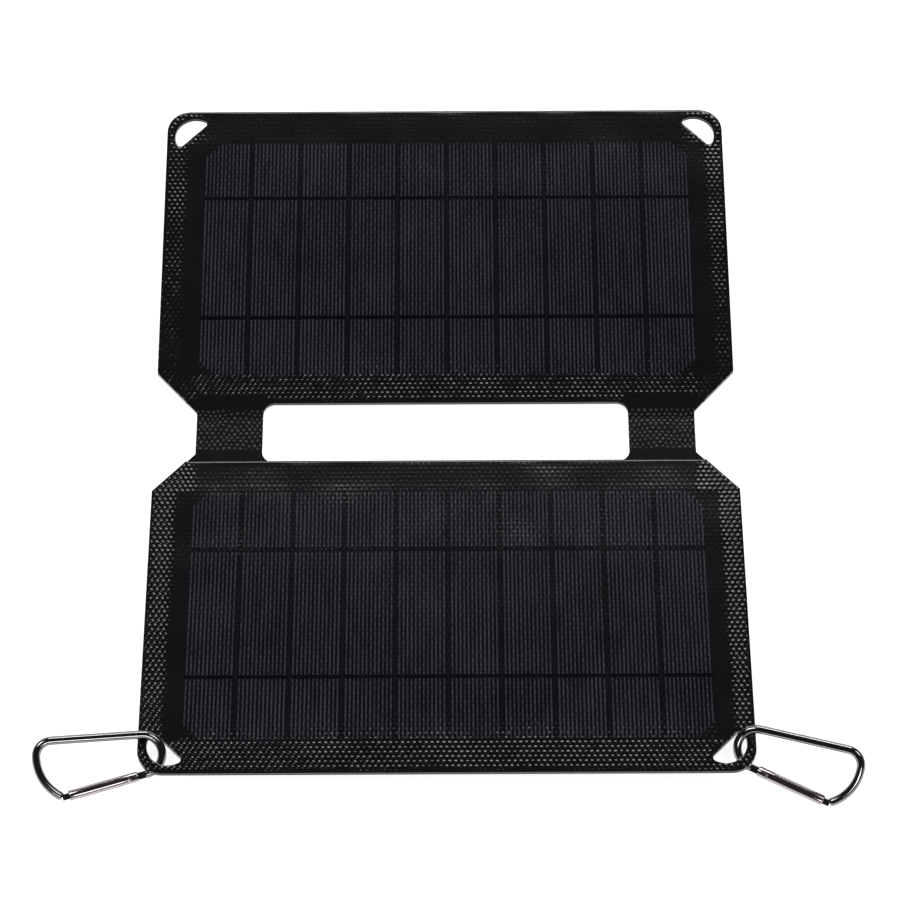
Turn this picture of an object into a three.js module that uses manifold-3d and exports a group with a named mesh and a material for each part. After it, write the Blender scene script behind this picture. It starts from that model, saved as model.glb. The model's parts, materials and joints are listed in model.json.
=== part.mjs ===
// A foldable camping solar panel: two laminated panels joined by two fabric straps, a charge
// regulator with USB sockets on the back of the upper panel, and two small carabiners.
// Millimetres, +Z up. The object lies open on a surface, with the lower panel towards -Y.
import * as THREE from 'three';
import { mergeVertices } from 'three/addons/utils/BufferGeometryUtils.js';
import Module from 'manifold-3d';

const wasm = await Module();
wasm.setup();

// Driving dimensions. Panel measures run outwards (+Y) from the middle of the fold.
const PANEL_WIDTH = 270;
const SLOT_HALF = 15.3;
const PANEL_END = 172.45;
const OUTER_CORNER_R = 11;
const STRAP_INNER = 85;
const STRAP_OUTER = 115.9;
const STRAP_THICKNESS = 1;
const SLOT_CORNER_R = 5.5;
const CHAMFER_IN = [115.9, 10.8];
const CHAMFER_OUT = [135, 31];

// Layers of a panel, from the back face (0) to the front face.
const CLOTH_TOP = 0.5;
const BOARD = [0.65, 1.25];
const CELL = [1.4, 1.58];
const RIBBON = [1.66, 1.78];
const POCKET_TOP = 1.88;
const PANEL_TOP = 2.3;
const BOARD_INSET = 5;
const POCKET_INSET = 4.7;
const BOARD_CORNER_CUT = 31;
const POCKET_CORNER_CUT = 30.4;

// Solar cells: strips cut from 125 mm cells, ten side by side, crossed by two ribbons.
const STRIPS = 10;
const STRIP_PITCH = 23.54;
const STRIP_GAP = 1.2;
const CELL_HEIGHT = 125;
// [x, y] of the middle of each panel's cells, which were laid a little off centre.
const CELL_MIDDLE = { lower: [-0.8, 94.1], upper: [0.8, 92] };
const CELL_CHAMFER = 8;
const RIBBON_OFFSET = 32.1;
const RIBBON_WIDTH = 2;

// Half-moon eyelets in the outer corners.
const EYELET_R = 9.7;
const EYELET_CENTRE = 13.6;
const EYELET_CHORD = 0.45;
const EYELET_TIP_R = 1.8;

// Fold: two parallel hinge lines in the straps, and how far each panel leans at rest.
const HINGE_Y = 7.5;
const HINGE_Z = STRAP_THICKNESS / 2;
const HINGE_GAP = 0.7;
const LOWER_LEAN = THREE.MathUtils.degToRad(2.1);
const UPPER_LEAN = THREE.MathUtils.degToRad(4.6);

// Regulator housing under the upper panel. Its near edge stands on the ground, and so props
// the panel at its lean.
const BOX_WIDTH = 72;
const BOX_DEPTH = 32;
const BOX_HEIGHT = 9.8;
const BOX_CORNER_R = 4;
const BOX_WALL = 1.6;
const BOX_FLOOR = 1.2;
const COVER_THICKNESS = 1.3;
const FIT = 0.3;
const LAYER_GAP = 0.15;
const SCREW_X = 31;
const SCREW_Y = 11;
const BOSS_R = 2.7;
const SCREW_R = 1;
const SCREW_LENGTH = 6.4;
const SCREW_HEAD_R = 1.9;
const SCREW_HEAD_H = 0.7;
const PCB = { width: 55, depth: 25, z: [-6.2, -5.2], y: -1.2 };
const USB_A = { width: 13.2, height: 5.2, length: 13.5, wall: 0.35, round: 0.1, x: 13, z: -4.7 };
const USB_A_TONGUE = { width: 11, height: 1.6, rise: 0.9 };
const USB_C = { width: 9, height: 3.2, length: 7.4, wall: 0.35, round: 0.46, x: -8, z: -3.5 };
const USB_C_TONGUE = { width: 6.6, height: 0.7, rise: 0 };
const LIGHT = { radius: 1, length: 4, x: -22, z: -3.5 };
const INDUCTOR = { width: 7, round: 1.4, height: 3.1, x: -19, y: -6 };
const CAPACITOR = { radius: 3.1, height: 3.1, x: -8, y: -7 };
const CHIP = { width: 5, depth: 4, height: 1.4, x: -14, y: -3 };
const BOX_NEAR = HINGE_Y
  + ((HINGE_Z + BOX_HEIGHT) * Math.cos(UPPER_LEAN) - HINGE_Z) / Math.sin(UPPER_LEAN);

// Carabiner: spine along +X from the narrow end, gate on the +Y side, flat in Z.
const WIRE_R = 1.9;
const NARROW_R = 8.7;
const SPINE_LENGTH = 39.05;
const SHOULDER_R = 6.7;
const SHOULDER_TURN = 88;
const NOSE_R = 20;
const NOSE_TURN = 63;
const GATE_ANGLE = 12;
const GATE_R = 2.3;
const GATE_SPAN = [4.1, 35];
const STUB_END = 0.8;
const RIVET_AT = 8.3;
const RIVET_R = 0.75;
const TANG_THICKNESS = 1.5;
const TANG_HALF = 1.5;
const FORK_WIDTH = 2.1;
const PIN_AT = 33.6;
const PIN_R = 0.6;
const NOSE_TANG = [31.6, 37.9];
const FORK_DEPTH = 4.1;
const BORE_R = 1.3;
const BORE_SPAN = [11.4, 21.6];
const SPRING_SPAN = [14.6, 21.2];
const SPRING_TURNS = 6;
const SPRING_R = 0.75;
const SPRING_WIRE_R = 0.18;
const PLUNGER_SPAN = [10.3, 14.2];
const PLUNGER_R = 0.85;

// How each carabiner sits in its eyelet: where its wire crosses the panel, measured in from the
// panel's side and end, then in degrees the heading of the crossing line, the tilt of its plane,
// the spine's drift from that line, and the place on the narrow bend.
const LEFT_SEAT = { side: 10.3, end: 12.8, heading: 17.2, tilt: 33, drift: 12, bend: 74 };
const RIGHT_SEAT = { side: 8, end: 13.5, heading: 27.5, tilt: 39, drift: 12, bend: 88 };

const ARC_STEPS = 8;
const rad = THREE.MathUtils.degToRad;

const paint = (color, roughness, metalness) => () =>
  new THREE.MeshStandardMaterial({ color, roughness, metalness });
const PAINT = {
  film: paint(0x101013, 0.35, 0),
  cloth: paint(0x17171a, 0.85, 0),
  board: paint(0x1f3a2c, 0.6, 0),
  silicon: paint(0x15141c, 0.3, 0.1),
  ribbon: paint(0x2c2b30, 0.5, 0.4),
  strap: paint(0x1d1d20, 0.8, 0),
  housing: paint(0x161618, 0.5, 0),
  circuit: paint(0x164a2e, 0.5, 0),
  tin: paint(0xb9bcc0, 0.3, 1),
  insulator: paint(0x0d0d0e, 0.5, 0),
  lens: paint(0xdfe6ee, 0.1, 0),
  ferrite: paint(0x3a3a3d, 0.7, 0.1),
  screw: paint(0x8d8f93, 0.35, 1),
  chrome: paint(0xc4c6ca, 0.12, 1),
  gate: paint(0xd3c9cb, 0.25, 1),
  spring: paint(0xa8abb0, 0.3, 1),
};

function solid(geometry) {
  const bare = geometry.clone();
  bare.deleteAttribute('normal');
  bare.deleteAttribute('uv');
  const merged = mergeVertices(bare, 1e-4);
  return new wasm.Manifold(new wasm.Mesh({
    numProp: 3,
    vertProperties: new Float32Array(merged.attributes.position.array),
    triVerts: new Uint32Array(merged.index.array),
  }));
}

function geometryOf(body) {
  const { vertProperties, triVerts } = body.getMesh();
  const geometry = new THREE.BufferGeometry();
  geometry.setAttribute('position', new THREE.BufferAttribute(new Float32Array(vertProperties), 3));
  geometry.setIndex(new THREE.BufferAttribute(new Uint32Array(triVerts), 1));
  geometry.computeVertexNormals();
  return geometry;
}

const cut = (base, ...tools) =>
  geometryOf(tools.reduce((body, tool) => body.subtract(solid(tool)), solid(base)));
const join = (base, ...extras) =>
  geometryOf(extras.reduce((body, extra) => body.add(solid(extra)), solid(base)));

function named(name, geometry, finish) {
  const mesh = new THREE.Mesh(geometry, PAINT[finish]());
  mesh.name = name;
  return mesh;
}

function block(width, depth, z0, z1, x = 0, y = 0) {
  return new THREE.BoxGeometry(width, depth, z1 - z0).translate(x, y, (z0 + z1) / 2);
}

function slab(shape, z0, z1, curveSegments = ARC_STEPS) {
  const options = { depth: z1 - z0, bevelEnabled: false, curveSegments };
  return new THREE.ExtrudeGeometry(shape, options).translate(0, 0, z0);
}

function rod(radius, z0, z1, x = 0, y = 0, sides = 16) {
  const geometry = new THREE.CylinderGeometry(radius, radius, z1 - z0, sides);
  return geometry.rotateX(Math.PI / 2).translate(x, y, (z0 + z1) / 2);
}

function roundedRectangle(width, depth, radius) {
  const x = width / 2 - radius;
  const y = depth / 2 - radius;
  const shape = new THREE.Shape();
  shape.absarc(x, y, radius, 0, Math.PI / 2);
  shape.absarc(-x, y, radius, Math.PI / 2, Math.PI);
  shape.absarc(-x, -y, radius, Math.PI, 1.5 * Math.PI);
  shape.absarc(x, -y, radius, 1.5 * Math.PI, 2 * Math.PI);
  return shape;
}

// Half-moon opening of one outer corner: a circle's segment with rounded tips, its round side
// towards the corner.
function eyelet(side) {
  const tipX = Math.sqrt((EYELET_R - EYELET_TIP_R) ** 2 - (EYELET_CHORD + EYELET_TIP_R) ** 2);
  const tipY = EYELET_CHORD + EYELET_TIP_R;
  const lean = Math.atan2(tipY, tipX);
  const path = new THREE.Path();
  path.absarc(tipX, tipY, EYELET_TIP_R, -Math.PI / 2, lean);
  path.absarc(0, 0, EYELET_R, lean, Math.PI - lean);
  path.absarc(-tipX, tipY, EYELET_TIP_R, Math.PI - lean, 1.5 * Math.PI);
  const centre = new THREE.Vector2(
    side * (PANEL_WIDTH / 2 - EYELET_CENTRE),
    PANEL_END - EYELET_CENTRE,
  );
  const origin = new THREE.Vector2();
  const turn = -side * Math.PI / 4;
  return new THREE.Path(path.getPoints(ARC_STEPS).map((p) => p.rotateAround(origin, turn).add(centre)));
}

// Where the slanted strap-side edge, moved inwards by inset, reaches a given x or y.
function chamferLine(inset) {
  const [x0, y0] = CHAMFER_IN;
  const run = CHAMFER_OUT[0] - x0;
  const rise = CHAMFER_OUT[1] - y0;
  const length = Math.hypot(run, rise);
  const startX = x0 - inset * rise / length;
  const startY = y0 + inset * run / length;
  return {
    xAt: (y) => startX + (y - startY) * run / rise,
    yAt: (x) => startY + (x - startX) * rise / run,
  };
}

function mirroredShape(rightSide) {
  const left = rightSide.map(([x, y]) => [-x, y]).reverse();
  return new THREE.Shape([...rightSide, ...left].map(([x, y]) => new THREE.Vector2(x, y)));
}

function cornerArc() {
  const points = [];
  for (let i = 0; i <= ARC_STEPS; i++) {
    const angle = (i / ARC_STEPS) * Math.PI / 2;
    points.push([
      PANEL_WIDTH / 2 - OUTER_CORNER_R + OUTER_CORNER_R * Math.cos(angle),
      PANEL_END - OUTER_CORNER_R + OUTER_CORNER_R * Math.sin(angle),
    ]);
  }
  return points;
}

function panelOutline() {
  const shape = mirroredShape([
    [chamferLine(0).xAt(SLOT_HALF), SLOT_HALF],
    CHAMFER_OUT,
    ...cornerArc(),
  ]);
  shape.holes.push(eyelet(1), eyelet(-1));
  return shape;
}

function insetOutline(inset, cornerCut) {
  const x = PANEL_WIDTH / 2 - inset;
  const end = PANEL_END - inset;
  const start = SLOT_HALF + inset;
  const line = chamferLine(inset);
  return mirroredShape([
    [line.xAt(start), start],
    [x, line.yAt(x)],
    [x, PANEL_END - (cornerCut - inset)],
    [PANEL_WIDTH / 2 - (cornerCut - inset), end],
  ]);
}

// The part of a strap that is laminated to a panel: it flares into the panel's slanted edge on
// the outside and into the slot's round corner on the inside.
function strapTab(side) {
  const inner = STRAP_INNER - SLOT_CORNER_R;
  const points = [[STRAP_OUTER, HINGE_Y + HINGE_GAP], CHAMFER_IN];
  points.push([chamferLine(0).xAt(SLOT_HALF), SLOT_HALF]);
  for (let i = 0; i <= ARC_STEPS; i++) {
    const angle = Math.PI / 2 - (i / ARC_STEPS) * Math.PI / 2;
    points.push([
      inner + SLOT_CORNER_R * Math.cos(angle),
      SLOT_HALF - SLOT_CORNER_R + SLOT_CORNER_R * Math.sin(angle),
    ]);
  }
  points.push([STRAP_INNER, HINGE_Y + HINGE_GAP]);
  return new THREE.Shape(points.map(([x, y]) => new THREE.Vector2(side * x, y)));
}

function backCloth() {
  const tabs = [1, -1].map((side) => slab(strapTab(side), 0, STRAP_THICKNESS));
  const overlap = 0.3;
  const width = STRAP_OUTER - STRAP_INNER;
  const middle = STRAP_INNER + width / 2;
  const roots = [1, -1].map((side) =>
    block(width, 2 * overlap, 0, CLOTH_TOP, side * middle, SLOT_HALF));
  return join(slab(panelOutline(), 0, CLOTH_TOP), ...tabs, ...roots);
}

function frontFilm() {
  const pocket = slab(insetOutline(POCKET_INSET, POCKET_CORNER_CUT), 0, POCKET_TOP);
  const sheet = slab(panelOutline(), CLOTH_TOP + LAYER_GAP, PANEL_TOP);
  const tabRelief = block(PANEL_WIDTH, 2 * FIT, 0, STRAP_THICKNESS + LAYER_GAP, 0, SLOT_HALF);
  return cut(sheet, pocket, tabRelief);
}

function cellStrip(index, [middleX, middleY]) {
  const left = middleX + (index - STRIPS / 2) * STRIP_PITCH + STRIP_GAP / 2;
  const right = left + STRIP_PITCH - STRIP_GAP;
  const bottom = middleY - CELL_HEIGHT / 2;
  const top = bottom + CELL_HEIGHT;
  const cutLeft = index === 0 ? CELL_CHAMFER : 0;
  const cutRight = index === STRIPS - 1 ? CELL_CHAMFER : 0;
  const outline = [
    [left + cutLeft, bottom], [right - cutRight, bottom],
    [right, bottom + cutRight], [right, top - cutRight],
    [right - cutRight, top], [left + cutLeft, top],
    [left, top - cutLeft], [left, bottom + cutLeft],
  ];
  const corners = outline.filter(([x, y], i) => {
    const [nextX, nextY] = outline[(i + 1) % outline.length];
    return Math.hypot(nextX - x, nextY - y) > 0;
  });
  return slab(new THREE.Shape(corners.map(([x, y]) => new THREE.Vector2(x, y))), ...CELL);
}

function ribbon(side, [middleX, middleY]) {
  const length = STRIPS * STRIP_PITCH - STRIP_GAP;
  return block(length, RIBBON_WIDTH, ...RIBBON, middleX, middleY + side * RIBBON_OFFSET);
}

function laminate(prefix) {
  const panel = new THREE.Group();
  panel.add(named(`${prefix}_back_cloth`, backCloth(), 'cloth'));
  const board = slab(insetOutline(BOARD_INSET, BOARD_CORNER_CUT), ...BOARD);
  panel.add(named(`${prefix}_stiffener_board`, board, 'board'));
  const middle = CELL_MIDDLE[prefix];
  for (let i = 0; i < STRIPS; i++) {
    panel.add(named(`${prefix}_cell_${i + 1}`, cellStrip(i, middle), 'silicon'));
  }
  panel.add(named(`${prefix}_ribbon_inner`, ribbon(-1, middle), 'ribbon'));
  panel.add(named(`${prefix}_ribbon_outer`, ribbon(1, middle), 'ribbon'));
  panel.add(named(`${prefix}_front_film`, frontFilm(), 'film'));
  return panel;
}

function strap(side) {
  const half = HINGE_Y - HINGE_GAP;
  const middle = side * (STRAP_INNER + STRAP_OUTER) / 2;
  return block(STRAP_OUTER - STRAP_INNER, 2 * half, 0, STRAP_THICKNESS, middle, 0);
}

// Regulator box, in its own frame: z = 0 on the panel's back face, sockets towards +Y.
function screwPlaces() {
  return [[-1, -1], [1, -1], [-1, 1], [1, 1]].map(([x, y]) => [x * SCREW_X, y * SCREW_Y]);
}

function socketWindow({ width, height, x, z }) {
  const half = height / 2 + FIT;
  return block(width + 2 * FIT, 3 * BOX_WALL, z - half, z + half, x, BOX_DEPTH / 2);
}

function housingBase() {
  const rim = -(BOX_HEIGHT - COVER_THICKNESS - LAYER_GAP);
  const shell = slab(roundedRectangle(BOX_WIDTH, BOX_DEPTH, BOX_CORNER_R), rim, -LAYER_GAP);
  const inside = roundedRectangle(
    BOX_WIDTH - 2 * BOX_WALL,
    BOX_DEPTH - 2 * BOX_WALL,
    BOX_CORNER_R - BOX_WALL,
  );
  const hollow = slab(inside, rim - 1, -LAYER_GAP - BOX_FLOOR);
  const lightHole = rod(LIGHT.radius + FIT, -BOX_WALL * 3, BOX_WALL * 3)
    .rotateX(Math.PI / 2).translate(LIGHT.x, BOX_DEPTH / 2, LIGHT.z);
  let body = solid(shell).subtract(solid(hollow));
  for (const [x, y] of screwPlaces()) {
    body = body.add(solid(rod(BOSS_R, rim, -LAYER_GAP - BOX_FLOOR / 2, x, y)));
    body = body.subtract(solid(rod(SCREW_R + FIT, rim - 1, rim + SCREW_LENGTH, x, y)));
  }
  return cut(geometryOf(body), socketWindow(USB_A), socketWindow(USB_C), lightHole);
}

function housingCover() {
  const bottom = -BOX_HEIGHT;
  const outline = roundedRectangle(BOX_WIDTH, BOX_DEPTH, BOX_CORNER_R);
  const plate = slab(outline, bottom, bottom + COVER_THICKNESS);
  const holes = screwPlaces().flatMap(([x, y]) => [
    rod(SCREW_R + FIT, bottom - 1, bottom + COVER_THICKNESS + 1, x, y),
    rod(SCREW_HEAD_R + FIT, bottom - 1, bottom + SCREW_HEAD_H + FIT, x, y),
  ]);
  return cut(plate, ...holes);
}

// Cross-head screw with its head down, origin on the underside of the head.
function coverScrew() {
  const profile = [
    [0, 0], [SCREW_HEAD_R, 0], [SCREW_HEAD_R, SCREW_HEAD_H], [SCREW_R, SCREW_HEAD_H],
    [SCREW_R, SCREW_LENGTH - SCREW_R], [0, SCREW_LENGTH],
  ].map(([r, z]) => new THREE.Vector2(r, z));
  const body = new THREE.LatheGeometry(profile, 16).rotateX(Math.PI / 2);
  const slotDepth = 0.4;
  const slotWidth = 0.4;
  const slotLength = 2.2;
  const slots = [
    block(slotLength, slotWidth, -slotDepth, slotDepth),
    block(slotWidth, slotLength, -slotDepth, slotDepth),
  ];
  return cut(body, ...slots);
}

function circuitBoard() {
  const plate = block(PCB.width, PCB.depth, ...PCB.z, 0, PCB.y);
  const notchDepth = USB_A.length + FIT - BOX_WALL;
  const edge = PCB.y + PCB.depth / 2;
  const notch = block(USB_A.width + 2 * FIT, 2 * notchDepth, PCB.z[0] - 1, PCB.z[1] + 1, USB_A.x, edge);
  return cut(plate, notch);
}

// A socket's outline moved inwards by inset; round is its corner radius as a share of its height.
function socketOutline({ width, height, round }, inset) {
  const innerHeight = height - 2 * inset;
  return roundedRectangle(width - 2 * inset, innerHeight, round * innerHeight);
}

// Metal sleeve of a socket, open towards +Y, with its mouth just inside the housing's face.
function socketShell(socket) {
  const mouth = BOX_DEPTH / 2 - FIT;
  const end = socket.length - mouth;
  const outer = slab(socketOutline(socket, 0), -mouth, end).rotateX(Math.PI / 2);
  const hollow = slab(socketOutline(socket, socket.wall), -mouth - 1, end + 1).rotateX(Math.PI / 2);
  return cut(outer, hollow).translate(socket.x, 0, socket.z);
}

// Plastic core of a socket: a plug at the back of the sleeve that carries the contact tongue.
function socketCore(socket, { width, height, rise }) {
  const mouth = BOX_DEPTH / 2 - FIT;
  const back = mouth - socket.length;
  const plugDepth = 3;
  const outline = socketOutline(socket, socket.wall + LAYER_GAP);
  const plug = slab(outline, -back - plugDepth, -back).rotateX(Math.PI / 2);
  const front = mouth - 1;
  const half = height / 2;
  const tongue = block(width, front - back, rise - half, rise + half, 0, (front + back) / 2);
  return join(plug, tongue).translate(socket.x, 0, socket.z);
}

function lightPipe() {
  const mouth = BOX_DEPTH / 2 - FIT;
  const pipe = rod(LIGHT.radius, -mouth, LIGHT.length - mouth).rotateX(Math.PI / 2);
  return pipe.translate(LIGHT.x, 0, LIGHT.z);
}

function inductor(seat) {
  const { width, round, height, x, y } = INDUCTOR;
  return slab(roundedRectangle(width, width, round), seat, seat + height, 3).translate(x, y, 0);
}

function capacitor(seat) {
  const { radius, height, x, y } = CAPACITOR;
  return rod(radius, seat, seat + height, x, y);
}

function chip(seat) {
  const { width, depth, height, x, y } = CHIP;
  return block(width, depth, seat - height, seat, x, y);
}

function regulator() {
  const box = new THREE.Group();
  const pcbTop = PCB.z[1] + LAYER_GAP;
  const pcbUnder = PCB.z[0] - LAYER_GAP;
  box.add(named('housing_base', housingBase(), 'housing'));
  box.add(named('housing_cover', housingCover(), 'housing'));
  box.add(named('circuit_board', circuitBoard(), 'circuit'));
  box.add(named('usb_a_shell', socketShell(USB_A), 'tin'));
  box.add(named('usb_a_core', socketCore(USB_A, USB_A_TONGUE), 'insulator'));
  box.add(named('usb_c_shell', socketShell(USB_C), 'tin'));
  box.add(named('usb_c_core', socketCore(USB_C, USB_C_TONGUE), 'insulator'));
  box.add(named('status_light_pipe', lightPipe(), 'lens'));
  box.add(named('regulator_inductor', inductor(pcbTop), 'ferrite'));
  box.add(named('regulator_capacitor', capacitor(pcbTop), 'tin'));
  box.add(named('regulator_chip', chip(pcbUnder), 'insulator'));
  screwPlaces().forEach(([x, y], i) => {
    const screw = named(`cover_screw_${i + 1}`, coverScrew(), 'screw');
    screw.position.set(x, y, -BOX_HEIGHT + LAYER_GAP);
    box.add(screw);
  });
  return box;
}

// Carabiner centreline: stub, narrow bend, spine, shoulder and the long nose bend.
const gateAxis = new THREE.Vector3(Math.cos(rad(GATE_ANGLE)), Math.sin(rad(GATE_ANGLE)), 0);
const gateRoot = new THREE.Vector3(
  -NARROW_R * Math.sin(rad(GATE_ANGLE)),
  NARROW_R * (1 + Math.cos(rad(GATE_ANGLE))),
  0,
);
const alongGate = (s) => gateRoot.clone().addScaledVector(gateAxis, s);

function bendPoint(angle) {
  return new THREE.Vector3(-NARROW_R * Math.sin(angle), NARROW_R * (1 - Math.cos(angle)), 0);
}

function arcPoints(centre, radius, from, to, count) {
  return Array.from({ length: count }, (_, i) => {
    const heading = rad(from + (to - from) * (i + 1) / count);
    const x = centre.x + radius * Math.sin(heading);
    const y = centre.y - radius * Math.cos(heading);
    return new THREE.Vector3(x, y, 0);
  });
}

function wireCurve() {
  const points = [alongGate(STUB_END), alongGate(STUB_END / 2)];
  const bendSteps = 14;
  for (let i = 0; i <= bendSteps; i++) {
    points.push(bendPoint(rad(180 - GATE_ANGLE) * (1 - i / bendSteps)));
  }
  const spineSteps = 6;
  for (let i = 1; i <= spineSteps; i++) {
    points.push(new THREE.Vector3(SPINE_LENGTH * i / spineSteps, 0, 0));
  }
  const shoulder = new THREE.Vector3(SPINE_LENGTH, SHOULDER_R, 0);
  points.push(...arcPoints(shoulder, SHOULDER_R, 0, SHOULDER_TURN, 7));
  const last = points[points.length - 1];
  const turn = rad(SHOULDER_TURN);
  const nose = new THREE.Vector3(-Math.sin(turn), Math.cos(turn), 0).multiplyScalar(NOSE_R).add(last);
  points.push(...arcPoints(nose, NOSE_R, SHOULDER_TURN, SHOULDER_TURN + NOSE_TURN, 9));
  return new THREE.CatmullRomCurve3(points, false, 'centripetal');
}

function wireTube() {
  const section = new THREE.Shape();
  section.absarc(0, 0, WIRE_R, 0, 2 * Math.PI);
  return new THREE.ExtrudeGeometry(section, {
    steps: 64, curveSegments: 6, bevelEnabled: false, extrudePath: wireCurve(),
  });
}

// A piece drawn along the gate's own line, x from the wire's end and y outwards.
function onGate(geometry) {
  return geometry.rotateZ(rad(GATE_ANGLE)).translate(gateRoot.x, gateRoot.y, 0);
}

// A round bar along the gate's line.
function gateRod(radius, from, to, sides = 16) {
  return onGate(rod(radius, from, to, 0, 0, sides).rotateY(Math.PI / 2));
}

function carabinerBody() {
  const half = TANG_THICKNESS / 2;
  const beyond = TANG_THICKNESS;
  const tang = new THREE.Shape();
  tang.moveTo(STUB_END - 1, -TANG_HALF);
  tang.lineTo(RIVET_AT, -TANG_HALF);
  tang.absarc(RIVET_AT, 0, TANG_HALF, -Math.PI / 2, Math.PI / 2);
  tang.lineTo(STUB_END - 1, TANG_HALF);
  const [noseTip, noseEnd] = NOSE_TANG;
  const noseWidth = 2 * TANG_HALF - 0.4;
  const nose = block(noseEnd - noseTip, noseWidth, -half, half, (noseEnd + noseTip) / 2, 0);
  const notch = block(2 * (PIN_R + FIT), TANG_HALF * 2, -beyond, beyond, PIN_AT, -TANG_HALF);
  const notchEnd = rod(PIN_R + FIT, -beyond, beyond, PIN_AT, 0);
  const rivetHole = rod(RIVET_R + FIT, -beyond, beyond, RIVET_AT, 0);
  const whole = join(wireTube(), onGate(slab(tang, -half, half)), onGate(nose));
  return cut(whole, onGate(notch), onGate(notchEnd), onGate(rivetHole));
}

function carabinerGate() {
  const forkHalf = FORK_WIDTH / 2;
  const beyond = 1.5 * GATE_R;
  const [start, end] = GATE_SPAN;
  const [boreStart, boreEnd] = BORE_SPAN;
  const forkLength = boreStart - start + 2;
  const pivotFork = block(forkLength, 3 * GATE_R, -forkHalf, forkHalf, boreStart - forkLength / 2, 0);
  const noseFork = block(2 * FORK_DEPTH, 3 * GATE_R, -forkHalf, forkHalf, end, 0);
  const bore = gateRod(BORE_R, boreStart - 0.5, boreEnd, 12);
  const rivetHole = rod(RIVET_R + FIT, -beyond, beyond, RIVET_AT, 0);
  const pinHole = rod(PIN_R + LAYER_GAP, -beyond, beyond, PIN_AT, 0);
  return cut(gateRod(GATE_R, start, end, 20), onGate(pivotFork), onGate(noseFork), bore,
    onGate(rivetHole), onGate(pinHole));
}

function springCoil() {
  const [from, to] = SPRING_SPAN;
  const stepsPerTurn = 10;
  const count = SPRING_TURNS * stepsPerTurn;
  const points = Array.from({ length: count + 1 }, (_, i) => {
    const angle = (i / stepsPerTurn) * 2 * Math.PI;
    const x = from + (to - from) * i / count;
    return new THREE.Vector3(x, SPRING_R * Math.cos(angle), SPRING_R * Math.sin(angle));
  });
  const section = new THREE.Shape();
  section.absarc(0, 0, SPRING_WIRE_R, 0, 2 * Math.PI);
  const extrudePath = new THREE.CatmullRomCurve3(points);
  const options = { steps: count, curveSegments: 3, bevelEnabled: false, extrudePath };
  return onGate(new THREE.ExtrudeGeometry(section, options));
}

function carabiner(prefix) {
  const clip = new THREE.Group();
  clip.add(named(`${prefix}_body`, carabinerBody(), 'chrome'));
  clip.add(named(`${prefix}_gate`, carabinerGate(), 'gate'));
  const rivet = onGate(rod(RIVET_R, -GATE_R, GATE_R, RIVET_AT, 0, 12));
  clip.add(named(`${prefix}_rivet`, rivet, 'screw'));
  const pinEnd = GATE_R - FIT;
  const pin = onGate(rod(PIN_R, -pinEnd, pinEnd, PIN_AT, 0, 12));
  clip.add(named(`${prefix}_nose_pin`, pin, 'screw'));
  clip.add(named(`${prefix}_plunger`, gateRod(PLUNGER_R, ...PLUNGER_SPAN, 12), 'spring'));
  clip.add(named(`${prefix}_spring`, springCoil(), 'spring'));
  return clip;
}

// Puts a carabiner through an eyelet of the lower panel. The panel's frame has its outer end
// towards +Y, and side is the eyelet's side in that frame.
function seatCarabiner(clip, side, seat) {
  const heading = rad(seat.heading);
  const tilt = rad(seat.tilt);
  const drift = rad(seat.drift);
  const bend = rad(seat.bend);
  const crossing = new THREE.Vector3(Math.cos(heading) * side, Math.sin(heading), 0);
  const across = new THREE.Vector3(-Math.sin(heading) * side, Math.cos(heading), 0)
    .multiplyScalar(Math.cos(tilt))
    .add(new THREE.Vector3(0, 0, -Math.sin(tilt)));
  const spine = crossing.clone().multiplyScalar(Math.cos(drift))
    .addScaledVector(across, -Math.sin(drift));
  const gateward = crossing.clone().multiplyScalar(Math.sin(drift))
    .addScaledVector(across, Math.cos(drift));
  const normal = new THREE.Vector3().crossVectors(spine, gateward);
  clip.quaternion.setFromRotationMatrix(new THREE.Matrix4().makeBasis(spine, gateward, normal));
  const threaded = bendPoint(bend).applyQuaternion(clip.quaternion);
  const x = side * (PANEL_WIDTH / 2 - seat.side);
  const y = PANEL_END - seat.end;
  clip.position.set(x, y, PANEL_TOP / 2).sub(threaded);
  return clip;
}

// Hangs a panel on its hinge line: turn faces it away from the fold and lean raises its end.
function hinged(panel, turn, lean) {
  panel.position.set(0, -HINGE_Y, -HINGE_Z);
  const leaning = new THREE.Group();
  leaning.position.set(0, HINGE_Y, HINGE_Z);
  leaning.rotation.x = lean;
  leaning.add(panel);
  const side = new THREE.Group();
  side.rotation.z = turn;
  side.add(leaning);
  return side;
}

const lowerPanel = laminate('lower');
lowerPanel.add(seatCarabiner(carabiner('left_carabiner'), 1, LEFT_SEAT));
lowerPanel.add(seatCarabiner(carabiner('right_carabiner'), -1, RIGHT_SEAT));

const upperPanel = laminate('upper');
const box = regulator();
box.position.set(0, BOX_NEAR + BOX_DEPTH / 2, 0);
upperPanel.add(box);

const model = new THREE.Group();
model.add(hinged(lowerPanel, Math.PI, LOWER_LEAN));
model.add(hinged(upperPanel, 0, UPPER_LEAN));
model.add(named('strap_left', strap(-1), 'strap'));
model.add(named('strap_right', strap(1), 'strap'));

// The origin is under the middle of the whole object, on the surface it lies on.
const bounds = new THREE.Box3().setFromObject(model, true);
const middle = bounds.getCenter(new THREE.Vector3());
model.position.set(-middle.x, -middle.y, -bounds.min.z);

const group = new THREE.Group();
group.add(model);
export default group;
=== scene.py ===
"""Looks of a folding solar panel: dimpled film over strip cells, woven back cloth, fabric straps, a
moulded regulator box and two polished carabiners."""

import json
import math

import bmesh
import bpy
import numpy as np
from mathutils import Matrix, Vector
from mathutils.geometry import delaunay_2d_cdt


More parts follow.
